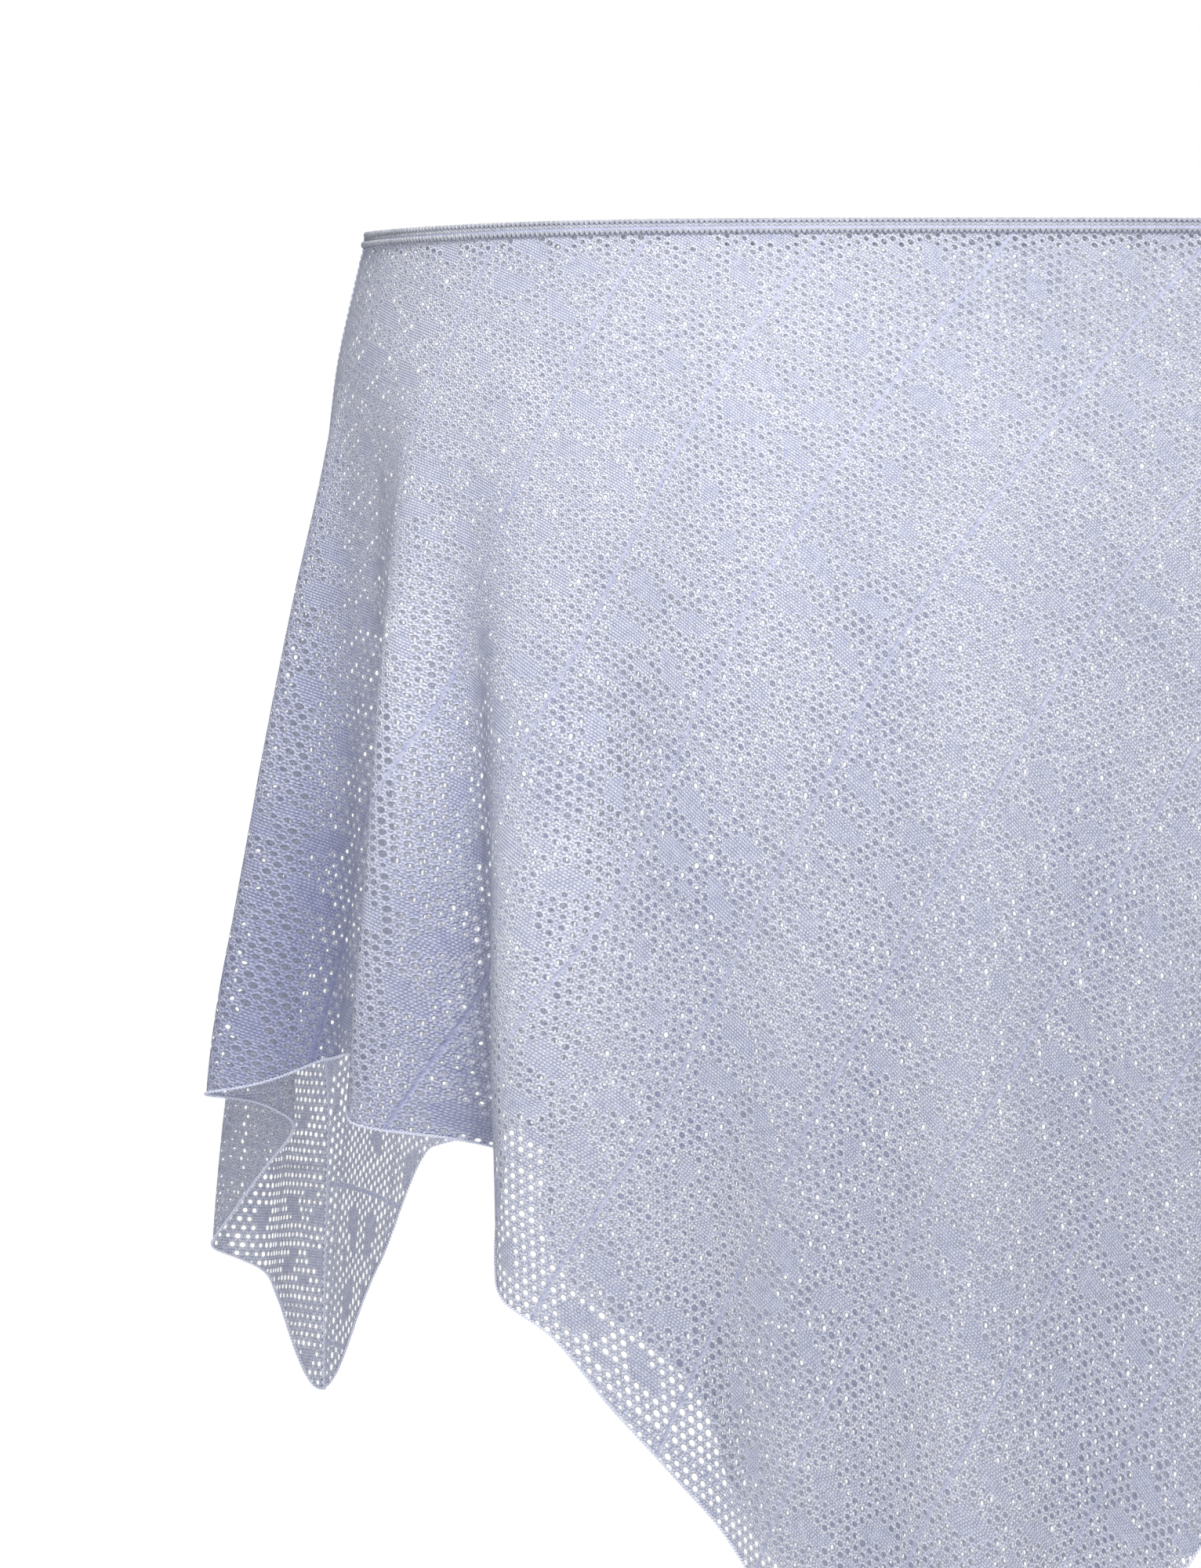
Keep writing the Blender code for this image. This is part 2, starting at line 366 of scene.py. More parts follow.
def flat_tables(middle, steady, fan_share, skew):
    """Places on the flat cloth, in metres, of points on columns that run straight down a panel.

    The cloth widens below the neckline like a fan, most where the folds are and beside the seams.
    """
    columns = np.linspace(-FLAT_REACH, FLAT_REACH, 2 * FLAT_COLUMNS + 1)
    around = (columns + middle + 180) % 360 - 180
    top, low = neck_depth(around), hem_depth(around)
    down = np.linspace(0, 1, FLAT_ROWS + 1)[:, None]
    points = cloth_point(np.broadcast_to(around, (FLAT_ROWS + 1, len(columns))), top + (low - top) * down)
    steps = np.linalg.norm(np.diff(points, axis=1), axis=2)
    drops = np.linalg.norm(np.diff(points, axis=0), axis=2)
    fallen = np.vstack([np.zeros(len(columns)), np.cumsum(drops, axis=0)])
    fan_row = int(FAN_DEPTH * FLAT_ROWS)
    wider = (steps[fan_row] - steps[0]) / (fallen[fan_row, 1:] + fallen[fan_row, :-1]) * 2
    window = np.hanning(FAN_SMOOTHING)
    wider = np.convolve(np.pad(wider, FAN_SMOOTHING // 2, mode="edge"), window / window.sum(), mode="valid")
    beside_seam = np.clip((np.abs(columns[1:]) - steady) / FAN_FADE, 0, 1)
    turn = np.concatenate([[0], np.cumsum((fan_share + (1 - fan_share) * beside_seam) * wider)])
    turn -= turn[FLAT_COLUMNS]
    heading = (turn[1:] + turn[:-1]) / 2
    x = np.concatenate([[0], np.cumsum(steps[0] * np.cos(heading))])
    y = np.concatenate([[0], np.cumsum(steps[0] * np.sin(heading))])
    length = read(HANGING_STRETCH, 1, fallen)
    flat_x = x - x[FLAT_COLUMNS] + length * np.sin(turn)
    flat_y = y - y[FLAT_COLUMNS] - length * np.cos(turn)
    return flat_x + skew * flat_y, flat_y


def flat_places(angle, depth, is_front, fan_share, skew):
    """Where points of a panel lay on the cloth before it was worn, from the middle of its neck edge."""
    middle, steady = (0.0, FRONT_STEADY) if is_front else (180.0, BACK_STEADY)
    across = ((angle - middle + 180) % 360 - 180 + FLAT_REACH) / FLAT_REACH * FLAT_COLUMNS
    falling = (depth - neck_depth(angle)) / (hem_depth(angle) - neck_depth(angle)) * FLAT_ROWS
    c, r = np.floor(across).astype(int), np.clip(np.floor(falling).astype(int), 0, FLAT_ROWS - 1)
    u, v = across - c, falling - r
    return [
        (table[r, c] * (1 - u) + table[r, c + 1] * u) * (1 - v)
        + (table[r + 1, c] * (1 - u) + table[r + 1, c + 1] * u) * v
        for table in flat_tables(middle, steady, fan_share, skew)
    ]


# Shader and geometry nodes written as expressions.


class Signal:
    """A node's output that Python's operators work on, each adding a Math node."""

    def __init__(self, tree, socket):
        self.tree = tree
        self.socket = socket

    def math(self, operation, *others):
        values = dict(enumerate((self, *others)))
        return put(self.tree, "ShaderNodeMath", values, operation=operation)

    def __add__(self, other):
        return self.math("ADD", other)

    def __sub__(self, other):
        return self.math("SUBTRACT", other)

    def __rsub__(self, other):
        return put(self.tree, "ShaderNodeMath", {0: other, 1: self}, operation="SUBTRACT")

    def __mul__(self, other):
        return self.math("MULTIPLY", other)

    def __truediv__(self, other):
        return self.math("DIVIDE", other)

    def __mod__(self, other):
        return self.math("FLOORED_MODULO", other)

    def __abs__(self):
        return self.math("ABSOLUTE")

    def __gt__(self, other):
        return self.math("GREATER_THAN", other)

    __radd__ = __add__
    __rmul__ = __mul__

    def floor(self):
        return self.math("FLOOR")

    def root(self):
        return self.math("SQRT")

    def lowest(self, other):
        return self.math("MINIMUM", other)

    def highest(self, other):
        return self.math("MAXIMUM", other)

    def rise(self, start, end):
        """0 below start, 1 above end, smooth between."""
        values = {"Value": self, "From Min": start, "From Max": end}
        return put(self.tree, "ShaderNodeMapRange", values, interpolation_type="SMOOTHSTEP")


def put(tree, kind, values=None, output=0, **settings):
    """Add a node: its settings first, then its sockets' values or links. Gives one of its outputs."""
    node = tree.nodes.new(kind)
    for name, value in settings.items():
        setattr(node, name, value)
    for key, value in (values or {}).items():
        if isinstance(value, Signal):
            tree.links.new(value.socket, node.inputs[key])
        else:
            node.inputs[key].default_value = value
    return Signal(tree, node.outputs[output]) if node.outputs else None


def mixed(tree, share, low, high, **settings):
    values = {0: share, 6: low, 7: high}
    return put(tree, "ShaderNodeMix", values, output=2, data_type="RGBA", **settings)


def noise(tree, place, scale, detail, output=0):
    values = {"Vector": place, "Scale": scale, "Detail": detail}
    return put(tree, "ShaderNodeTexNoise", values, output=output)


def chance_at(tree, x, y):
    """A random share that is the same wherever both numbers are."""
    cell = put(tree, "ShaderNodeCombineXYZ", {0: x, 1: y})
    return put(tree, "ShaderNodeTexWhiteNoise", {"Vector": cell}, noise_dimensions="2D")


def colour(value):
    return (*value, 1.0)


def in_ellipse(x, y, place, size, tilt):
    """Above 0 inside an ellipse at a place, tilted by an angle in degrees."""
    dx, dy = x - place[0], y - place[1]
    c, s = math.cos(math.radians(tilt)), math.sin(math.radians(tilt))
    along = (dx * c + dy * s) / size[0]
    across = (dy * c - dx * s) / size[1]
    return 1.0 - along * along - across * across


def in_any(x, y, ellipses):
    """Above 0 inside any of the ellipses."""
    inside = in_ellipse(x, y, *ellipses[0])
    for ellipse in ellipses[1:]:
        inside = inside.highest(in_ellipse(x, y, *ellipse))
    return inside


def lace_chart(a, b):
    """Where holes are left out for the leaves, and where they are small for the bands.

    Places count in blocks.
    """
    across = a - a.floor() - 0.5
    along = b - b.floor() - 0.5
    is_pair = (a.floor() + b.floor()) % 2.0
    side = abs(across)
    motif = in_any(along, side, PETALS) * (1.0 - is_pair) + in_any(along, across, LENSES) * is_pair
    return motif > 0.0, side > BAND_START


def new_material(name):
    material = bpy.data.materials.new(name)
    material.use_nodes = True
    material.node_tree.nodes.clear()
    return material


def satin(tree, shade, roughness, bump, sheen, tint):
    """The yarn's own surface, with a soft sheen."""
    values = {
        "Base Color": shade,
        "Roughness": roughness,
        "Normal": bump,
        "Sheen Weight": sheen,
        "Sheen Roughness": SHEEN_ROUGHNESS,
        "Sheen Tint": colour(tint),
    }
    return put(tree, "ShaderNodeBsdfPrincipled", values)


def uneven_spot(tree, unevenness):
    """The place on the flat cloth, moved a little as stitches stray."""
    spot = put(tree, "ShaderNodeUVMap", uv_map="flat_cloth")
    warp = noise(tree, spot, WARP_SCALE, 1.0, output="Color")
    moved = put(tree, "ShaderNodeVectorMath", {0: warp, 1: (0.5, 0.5, 0.5)}, operation="SUBTRACT")
    moved = put(tree, "ShaderNodeVectorMath", {0: moved, 3: unevenness}, operation="SCALE")
    return put(tree, "ShaderNodeVectorMath", {0: spot, 1: moved}, operation="ADD")


def stitch_beads(tree, a, b, look):
    """Rounded stitches in rows. Each row is shifted, and each stitch raised, by chance."""
    row_place = a * (look.rows * STITCHES_TO_A_HOLE)
    row = row_place.floor()
    in_row = row_place - row - 0.5
    row_chance = put(tree, "ShaderNodeTexWhiteNoise", {"W": row}, noise_dimensions="1D")
    stitch = b * (look.holes * STITCHES_TO_A_HOLE) + row_chance
    in_stitch = stitch - stitch.floor() - 0.5
    chance = chance_at(tree, row, stitch.floor())
    return (1.0 - 4.0 * in_row * in_row) * (1.0 - 4.0 * in_stitch * in_stitch) * (0.45 + 0.55 * chance)


def lace_material(name, look):
    """Fine satin yarn knitted to a chart of eyelets, bands and leaves, laid out on the flat cloth."""
    material = new_material(name)
    tree = material.node_tree
    spot = uneven_spot(tree, look.unevenness)
    x = put(tree, "ShaderNodeSeparateXYZ", {0: spot}, output=0)
    y = put(tree, "ShaderNodeSeparateXYZ", {0: spot}, output=1)
    scale = math.sqrt(0.5) / look.block
    a = (x + y) * scale + look.start_across
    b = (x - y) * scale + look.start_along
    row = (a * look.rows + 0.5).floor()
    shift = (row % 2.0) * 0.5
    hole_a = row / look.rows
    hole_b = ((b * look.holes - shift).floor() + shift + 0.5) / look.holes
    chance = chance_at(tree, hole_a, hole_b)
    patch = noise(tree, spot, PATCH_SCALE, 2.0)
    is_plain, is_band = lace_chart(hole_a, hole_b)
    da = (a - hole_a) * look.block
    db = (b - hole_b) * look.block
    distance = (da * da + db * db * HOLE_STRETCH).root()
    radius = look.hole * (0.74 + 0.34 * chance + 0.9 * (patch - 0.5))
    radius = radius * (1.0 - is_plain) * (1.0 - is_band * 0.4)
    cord = abs((b + 0.5) % 1.0 - 0.5) * look.block
    beside_hole = distance - radius
    edge = beside_hole.highest(look.cord / 2.0 - cord)
    solid = edge.rise(-HOLE_SOFTNESS, HOLE_SOFTNESS)
    strand = (1.0 - (abs(beside_hole - STRAND_PLACE) / STRAND_REACH).lowest(1.0)) * (1.0 - is_plain)
    bead = stitch_beads(tree, a, b, look)
    height = edge.rise(-0.0001, 0.0003) * (0.12 + 0.7 * bead + 0.42 * strand)
    height = height * (0.2 + 0.8 * cord.rise(0.0001, 0.0008))
    grain = noise(tree, spot, GRAIN_SCALE, 2.0)
    # Painted highlight: the strands round the eyelets and the tops of the stitches are mixed towards the pale
    # highlight colour. The mix called worn then cools that highlighted yarn in random patches.
    lit = strand * (0.25 + 0.75 * chance) + bead * 0.4
    pale = mixed(tree, lit, colour(look.yarn), colour(look.yarn_highlight))
    worn = mixed(tree, patch.rise(0.35, 0.7) * 0.5, pale, colour(look.yarn_cool))
    # Darker where the relief is low: painted shade round the eyelets, between the stitches and along the
    # cords. The grain adds random tone.
    shade = mixed(tree, 0.08 + 1.3 * height + 1.1 * (grain - 0.5), colour(look.shaded_deep_yarn), worn)
    # Painted shade: in the folds' hollows the yarn's colour is multiplied darker and bluer.
    hollow = put(tree, "ShaderNodeAttribute", output="Fac", attribute_name="hollow")
    shade = mixed(tree, hollow * look.hollows, shade, colour(look.painted_shade_tint), blend_type="MULTIPLY")
    bump = put(tree, "ShaderNodeBump", {"Strength": look.relief, "Distance": LACE_RELIEF, "Height": height})
    yarn = satin(tree, shade, 0.52 - 0.16 * height, bump, look.sheen, look.yarn_highlight)
    glow = put(tree, "ShaderNodeBsdfTranslucent", {"Color": shade})
    thin = put(tree, "ShaderNodeMixShader", {0: look.translucence, 1: yarn, 2: glow})
    clear = put(tree, "ShaderNodeBsdfTransparent")
    finish = put(tree, "ShaderNodeMixShader", {0: solid, 1: clear, 2: thin})
    put(tree, "ShaderNodeOutputMaterial", {"Surface": finish})
    return material


def yarn_material(name, sheen, low, high):
    """The same yarn where its own stitches are modelled: fine plies along Object coordinates."""
    material = new_material(name)
    tree = material.node_tree
    place = put(tree, "ShaderNodeTexCoord", output="Object")
    grain = noise(tree, place, PLY_SCALE, 3.0)
    patch = noise(tree, place, YARN_PATCH_SCALE, 2.0)
    # The plies' random tone, darker where the bump dips, which paints shade into the dips.
    shade = mixed(tree, grain.rise(0.3, 0.7) * 0.7 + patch.rise(0.3, 0.75) * 0.3, colour(low), colour(high))
    bump = put(tree, "ShaderNodeBump", {"Strength": 0.4, "Distance": YARN_RELIEF, "Height": grain})
    finish = satin(tree, shade, 0.6 - 0.15 * grain, bump, sheen, high)
    put(tree, "ShaderNodeOutputMaterial", {"Surface": finish})
    return material


def floor_material(name):
    """A pale floor that fades into the surround away from the poncho."""
    material = new_material(name)
    tree = material.node_tree
    place = put(tree, "ShaderNodeTexCoord", output="Object")
    away = put(tree, "ShaderNodeVectorMath", {0: place}, output="Value", operation="LENGTH")
    pale = put(tree, "ShaderNodeBsdfPrincipled", {"Base Color": colour(FLOOR_COLOUR), "Roughness": 0.8})
    clear = put(tree, "ShaderNodeBsdfTransparent")
    finish = put(tree, "ShaderNodeMixShader", {0: away.rise(*FLOOR_FADE), 1: pale, 2: clear})
    put(tree, "ShaderNodeOutputMaterial", {"Surface": finish})
    return material


# Meshes.


def grid_faces(rows, columns, is_ring=False):
    r, c = np.meshgrid(np.arange(rows - 1), np.arange(columns if is_ring else columns - 1), indexing="ij")
    r, c = r.ravel(), c.ravel()
    d = (c + 1) % columns
    return np.stack([r * columns + c, (r + 1) * columns + c, (r + 1) * columns + d, r * columns + d], axis=1)


def show(name, mesh, material):
    piece = bpy.data.objects.new(name, mesh)
    bpy.context.scene.collection.objects.link(piece)
    if material is not None:
        mesh.materials.clear()
        mesh.materials.append(material)
    return piece


def cloth_piece(name, grid, flat, hollow, material):
    """A sheet of cloth through a grid of points, with their places on the flat cloth and their painted shade
    in the hollows.
    """
    rows, columns = grid.shape[:2]
    mesh = bpy.data.meshes.new(name)
    mesh.from_pydata(grid.reshape(-1, 3).tolist(), [], grid_faces(rows, columns).tolist())
    layer = mesh.uv_layers.new(name="flat_cloth")
    corners = np.zeros(len(mesh.loops), dtype=np.int32)
    mesh.loops.foreach_get("vertex_index", corners)
    places = np.stack(flat, axis=-1).reshape(-1, 2)[corners]
    layer.data.foreach_set("uv", places.astype(np.float32).ravel())
    # Painted shade of each point, read by the lace's material.
    layer = mesh.attributes.new("hollow", "FLOAT", "POINT")
    layer.data.foreach_set("value", hollow.astype(np.float32).ravel())
    mesh.shade_smooth()
    return show(name, mesh, material)


def grid_normals(grid):
    across = np.gradient(grid, axis=1)
    down = np.gradient(grid, axis=0)
    out = np.cross(down, across)
    return out / np.linalg.norm(out, axis=-1, keepdims=True)


def edge_lines(name, lines):
    """Open or closed lines of points, each point with the direction that faces out of the cloth there."""
    verts, edges, outward = [], [], []
    for points, out, is_ring in lines:
        first, count = len(verts), len(points)
        verts += points.tolist()
        outward.append(out)
        edges += [(first + i, first + i + 1) for i in range(count - 1)]
        if is_ring:
            edges.append((first + count - 1, first))
    mesh = bpy.data.meshes.new(name)
    mesh.from_pydata(verts, edges, [])
    facing = mesh.attributes.new("outward", "FLOAT_VECTOR", "POINT")
    facing.data.foreach_set("vector", np.concatenate(outward).astype(np.float32).ravel())
    return show(name, mesh, None)


def stitch_tree(name, legs):
    """Geometry Nodes that set a stitch at even steps along each line. Legs are curves in units of a step."""
    tree = bpy.data.node_groups.new(name, "GeometryNodeTree")
    face = tree.interface
    face.new_socket(name="Lines", in_out="INPUT", socket_type="NodeSocketGeometry")
    face.new_socket(name="Step", in_out="INPUT", socket_type="NodeSocketFloat")
    face.new_socket(name="Yarn", in_out="INPUT", socket_type="NodeSocketFloat")
    face.new_socket(name="Finish", in_out="INPUT", socket_type="NodeSocketMaterial")
    face.new_socket(name="Stitches", in_out="OUTPUT", socket_type="NodeSocketGeometry")
    given = tree.nodes.new("NodeGroupInput")
    lines, step, yarn, finish = (Signal(tree, given.outputs[k]) for k in range(4))
    circle = {"Resolution": 5, "Radius": yarn / step / 2.0}
    round_yarn = put(tree, "GeometryNodeCurvePrimitiveCircle", circle, mode="RADIUS")
    stitch = tree.nodes.new("GeometryNodeJoinGeometry")
    for start, middle, end in legs:
        leg = put(
            tree,
            "GeometryNodeCurveQuadraticBezier",
            {"Resolution": 3, "Start": start, "Middle": middle, "End": end},
        )
        share = put(tree, "GeometryNodeSplineParameter")
        swell = 0.45 + 0.55 * (share * math.pi).math("SINE")
        leg = put(tree, "GeometryNodeSetCurveRadius", {"Curve": leg, "Radius": swell})
        leg = put(
            tree, "GeometryNodeCurveToMesh", {"Curve": leg, "Profile Curve": round_yarn, "Fill Caps": True}
        )
        tree.links.new(leg.socket, stitch.inputs[0])
    path = put(tree, "GeometryNodeMeshToCurve", {"Mesh": lines})
    path = put(tree, "GeometryNodeResampleCurve", {"Curve": path, "Length": step}, mode="LENGTH")
    out = put(tree, "GeometryNodeInputNamedAttribute", {"Name": "outward"}, data_type="FLOAT_VECTOR")
    along = put(tree, "GeometryNodeInputTangent")
    turned = put(
        tree,
        "FunctionNodeAxesToRotation",
        {"Primary Axis": out, "Secondary Axis": along},
        primary_axis="Z",
        secondary_axis="X",
    )
    size = put(
        tree,
        "FunctionNodeRandomValue",
        {2: 0.94, 3: 1.06, "Seed": 7},
        output=1,
        data_type="FLOAT",
    )
    placed = put(
        tree,
        "GeometryNodeInstanceOnPoints",
        {
            "Points": path,
            "Instance": Signal(tree, stitch.outputs[0]),
            "Rotation": turned,
            "Scale": step * size,
        },
    )
    placed = put(tree, "GeometryNodeRealizeInstances", {0: placed})
    placed = put(tree, "GeometryNodeSetShadeSmooth", {0: placed})
    placed = put(tree, "GeometryNodeSetMaterial", {"Geometry": placed, "Material": finish})
    put(tree, "NodeGroupOutput", {0: placed})
    return tree


def stitched(name, lines, tree, step, yarn, material):
    """Run a stitch tree on lines and keep the result as a plain mesh."""
    carrier = edge_lines(name + "_lines", lines)
    modifier = carrier.modifiers.new("stitches", "NODES")
    modifier.node_group = tree
    inputs = {item.name: item.identifier for item in tree.interface.items_tree if item.in_out == "INPUT"}
    modifier[inputs["Step"]] = step
    modifier[inputs["Yarn"]] = yarn
    modifier[inputs["Finish"]] = material
    done = carrier.evaluated_get(bpy.context.evaluated_depsgraph_get())
    mesh = bpy.data.meshes.new_from_object(done)
    mesh.name = name
    bpy.data.objects.remove(carrier)
    return show(name, mesh, None)


# What a user may change.


class ClothLook(bpy.types.PropertyGroup):
    """Sizes of the lace, colours of the yarn, and its painted shade and painted highlight."""

    columns: bpy.props.IntProperty(name="Front columns", description="Mesh columns of the front", default=440)
    back_columns: bpy.props.IntProperty(
        name="Back columns", description="Mesh columns of the back", default=300
    )
    mesh_rows: bpy.props.IntProperty(name="Mesh rows", description="Mesh rows from neck to hem", default=150)
    block: bpy.props.FloatProperty(
        name="Block", description="Side of one block of the lace", default=0.0445, unit="LENGTH"
    )
    rows: bpy.props.IntProperty(name="Rows", description="Rows of eyelets in a block", default=16)
    holes: bpy.props.IntProperty(name="Eyelets", description="Eyelets in a row of a block", default=14)
    hole: bpy.props.FloatProperty(
        name="Eyelet radius", description="Radius of an open eyelet", default=0.0008, unit="LENGTH"
    )
    cord: bpy.props.FloatProperty(
        name="Cord", description="Width of the fine cord between blocks", default=0.0013, unit="LENGTH"
    )
    translucence: bpy.props.FloatProperty(
        name="Translucence",
        description="How much light comes through the yarn",
        default=0.32,
        subtype="FACTOR",
    )
    unevenness: bpy.props.FloatProperty(
        name="Unevenness",
        description="How far stitches stray from their places",
        default=0.0012,
        unit="LENGTH",
    )
    start_across: bpy.props.FloatProperty(
        name="Start across", description="Where the lace starts across its bands, in blocks", default=3.91
    )
    start_along: bpy.props.FloatProperty(
        name="Start along", description="Where the lace starts along its bands, in blocks", default=1.834
    )
    fan: bpy.props.FloatProperty(
        name="Fan", description="How much of the widening turns the stitches", default=0.6, subtype="FACTOR"
    )
    skew: bpy.props.FloatProperty(
        name="Skew", description="How far the lace leans as it hangs", default=0.24, subtype="FACTOR"
    )
    relief: bpy.props.FloatProperty(
        name="Relief", description="Strength of the stitches' relief", default=1.0, subtype="FACTOR"
    )
    sheen: bpy.props.FloatProperty(
        name="Sheen", description="Soft shine of the yarn", default=0.35, subtype="FACTOR"
    )
    yarn: bpy.props.FloatVectorProperty(
        name="Yarn", description="Colour of the yarn", default=(0.70, 0.715, 0.785), subtype="COLOR"
    )
    # Painted highlight colour of the lace, also the tint of its sheen.
    yarn_highlight: bpy.props.FloatVectorProperty(
        name="Pale yarn",
        description="Yarn where it catches light",
        default=(0.92, 0.925, 0.94),
        subtype="COLOR",
    )
    yarn_cool: bpy.props.FloatVectorProperty(
        name="Cool yarn", description="Yarn where it is cooler", default=(0.61, 0.64, 0.76), subtype="COLOR"
    )
    # Painted shade: the colour the yarn is multiplied by in the folds' hollows.
    painted_shade_tint: bpy.props.FloatVectorProperty(
        name="Hollow tint",
        description="What the folds' hollows do to the yarn",
        default=(0.47, 0.49, 0.66),
        subtype="COLOR",
    )
    # Painted shade: how strongly the folds' hollows are painted darker.
    hollows: bpy.props.FloatProperty(
        name="Hollows",
        description="How much deeper the yarn looks in the folds' hollows",
        default=0.9,
        subtype="FACTOR",
    )
    # Painted shade colour between the stitches and round the eyelets, also the colour of the trim's core.
    shaded_deep_yarn: bpy.props.FloatVectorProperty(
        name="Deep yarn",
        description="Yarn between the stitches",
        default=(0.38, 0.40, 0.56),
        subtype="COLOR",
    )


class EdgeLook(bpy.types.PropertyGroup):
    """Sizes of the trim's, the hem's and the seams' stitches."""

    trim_step: bpy.props.FloatProperty(
        name="Trim step", description="Width of a stitch of the neck trim", default=0.00177, unit="LENGTH"
    )
    trim_yarn: bpy.props.FloatProperty(
        name="Trim yarn", description="Thickness of the trim's yarn", default=0.00082, unit="LENGTH"
    )
    hem_step: bpy.props.FloatProperty(
        name="Hem step", description="Length of a stitch of the hem", default=0.0012, unit="LENGTH"
    )
    hem_yarn: bpy.props.FloatProperty(
        name="Hem yarn", description="Thickness of the hem's yarn", default=0.00045, unit="LENGTH"
    )
    seam_step: bpy.props.FloatProperty(
        name="Seam step", description="Length of a stitch of a side seam", default=0.0022, unit="LENGTH"
    )
    yarn_low: bpy.props.FloatVectorProperty(
        name="Shaded yarn",
        description="Edge yarn where its plies dip",
        default=(0.27, 0.28, 0.32),
        subtype="COLOR",
    )
    yarn_high: bpy.props.FloatVectorProperty(
        name="Raised yarn",
        description="Edge yarn where its plies rise",
        default=(0.45, 0.46, 0.49),
        subtype="COLOR",
    )


class StageLook(bpy.types.PropertyGroup):
    """The camera's place and the strength of the lights."""

    distance: bpy.props.FloatProperty(
        name="Distance", description="From the camera to the poncho", default=10.0, unit="LENGTH"
    )
    view_width: bpy.props.FloatProperty(
        name="View width", description="Width of the picture at the poncho", default=0.3928, unit="LENGTH"
    )
    key: bpy.props.FloatProperty(
        name="Key light", description="Power of the key light", default=122.0, unit="POWER"
    )
    fill: bpy.props.FloatProperty(
        name="Fill light", description="Power of the fill light", default=26.0, unit="POWER"
    )
    back: bpy.props.FloatProperty(
        name="Back light", description="Power of the back light", default=52.0, unit="POWER"
    )
    glow: bpy.props.FloatProperty(
        name="Chest light", description="Power of the small light on the chest", default=66.0, unit="POWER"
    )
    sky: bpy.props.FloatProperty(
        name="Surround", description="Light that comes from all round", default=0.32
    )


def panel_cloth(name, node, columns, is_front):
    look = bpy.context.scene.poncho_cloth
    angle, depth = panel_places(columns, look.mesh_rows, is_front)
    grid = cloth_point(angle, depth)
    material = bpy.data.materials.get("lace_cloth") or lace_material("lace_cloth", look)
    flat = flat_places(angle, depth, is_front, look.fan if is_front else 1.0, look.skew if is_front else 0.0)
    piece = cloth_piece(name, grid, flat, painted_shade_at(angle, depth), material)
    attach(piece, "root")
    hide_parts(node)
    return piece


class PONCHO_OT_front_cloth(bpy.types.Operator):
    """Hang the front of the lace cloth"""

    bl_idname = "poncho.front_cloth"
    bl_label = "Front cloth"

    def execute(self, context):
        piece = panel_cloth("front_cloth", "front_panel", context.scene.poncho_cloth.columns, True)
        return {"FINISHED"}


class PONCHO_OT_back_cloth(bpy.types.Operator):
    """Hang the back of the lace cloth"""

    bl_idname = "poncho.back_cloth"
    bl_label = "Back cloth"

    def execute(self, context):
        piece = panel_cloth("back_cloth", "back_panel", context.scene.poncho_cloth.back_columns, False)
        return {"FINISHED"}


def yarn_finish():
    """The neck trim's yarn."""
    look = bpy.context.scene.poncho_edges
    sheen = bpy.context.scene.poncho_cloth.sheen
    made = bpy.data.materials.get("plain_yarn")
    return made or yarn_material("plain_yarn", sheen, look.yarn_low, look.yarn_high)


def edge_finish():
    """The hem's and the seams' yarn."""
    look = bpy.context.scene.poncho_cloth
    made = bpy.data.materials.get("edge_yarn")
    return made or yarn_material("edge_yarn", look.sheen, look.yarn_cool, look.yarn)


def neck_ring(down, lift, count=RING_POINTS):
    """A closed line round the neckline, some way down the trim and off the cloth's middle."""
    angle = np.linspace(-180, 180, count, endpoint=False)
    depth = neck_depth(angle) + down
    out = outward_at(angle, depth)
    return cloth_point(angle, depth, lift), out * (1 if lift >= 0 else -1), True


class PONCHO_OT_neck_trim(bpy.types.Operator):
    """Knit the narrow trim round the neckline"""

    bl_idname = "poncho.neck_trim"
    bl_label = "Neck trim"

    def execute(self, context):
        look = context.scene.poncho_edges
        tree = stitch_tree("trim_stitch", TRIM_LEGS)
        height = TRIM_HEIGHT / len(TRIM_LIFTS)
        outer = [neck_ring(height * (k + 0.5), lift) for k, lift in enumerate(TRIM_LIFTS)]
        inner = [neck_ring(height * (k + 0.5), -lift) for k, lift in enumerate(TRIM_LIFTS)]
        for name, lines in (("neck_trim_outside", outer), ("neck_trim_inside", inner)):
            piece = stitched(name, lines, tree, look.trim_step, look.trim_yarn, yarn_finish())
            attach(piece, "root")
            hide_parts("neck_trim")
        return {"FINISHED"}


class PONCHO_OT_neck_band(bpy.types.Operator):
    """Close the trim's core behind its stitches"""

    bl_idname = "poncho.neck_band"
    bl_label = "Neck band"

    def execute(self, context):
        rings = []
        for turn in np.linspace(0, 2 * math.pi, BAND_SIDES, endpoint=False):
            down = TRIM_HEIGHT / 2 - TRIM_HEIGHT * BAND_SHARE * math.cos(turn)
            rings.append(neck_ring(down, BAND_HALF * math.sin(turn), BAND_POINTS)[0])
        grid = np.stack([*rings, rings[0]])
        mesh = bpy.data.meshes.new("neck_band")
        faces = grid_faces(len(grid), BAND_POINTS, is_ring=True) % (BAND_SIDES * BAND_POINTS)
        mesh.from_pydata(grid[:-1].reshape(-1, 3).tolist(), [], faces.tolist())
        mesh.shade_smooth()
        look = context.scene.poncho_cloth
        # Painted shade: the core behind the trim's stitches is made all of the dark deep yarn.
        material = yarn_material("inner_yarn", look.sheen, look.shaded_deep_yarn, look.shaded_deep_yarn)
        piece = show("neck_band", mesh, material)
        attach(piece, "root")
        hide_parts("neck_trim")
        return {"FINISHED"}


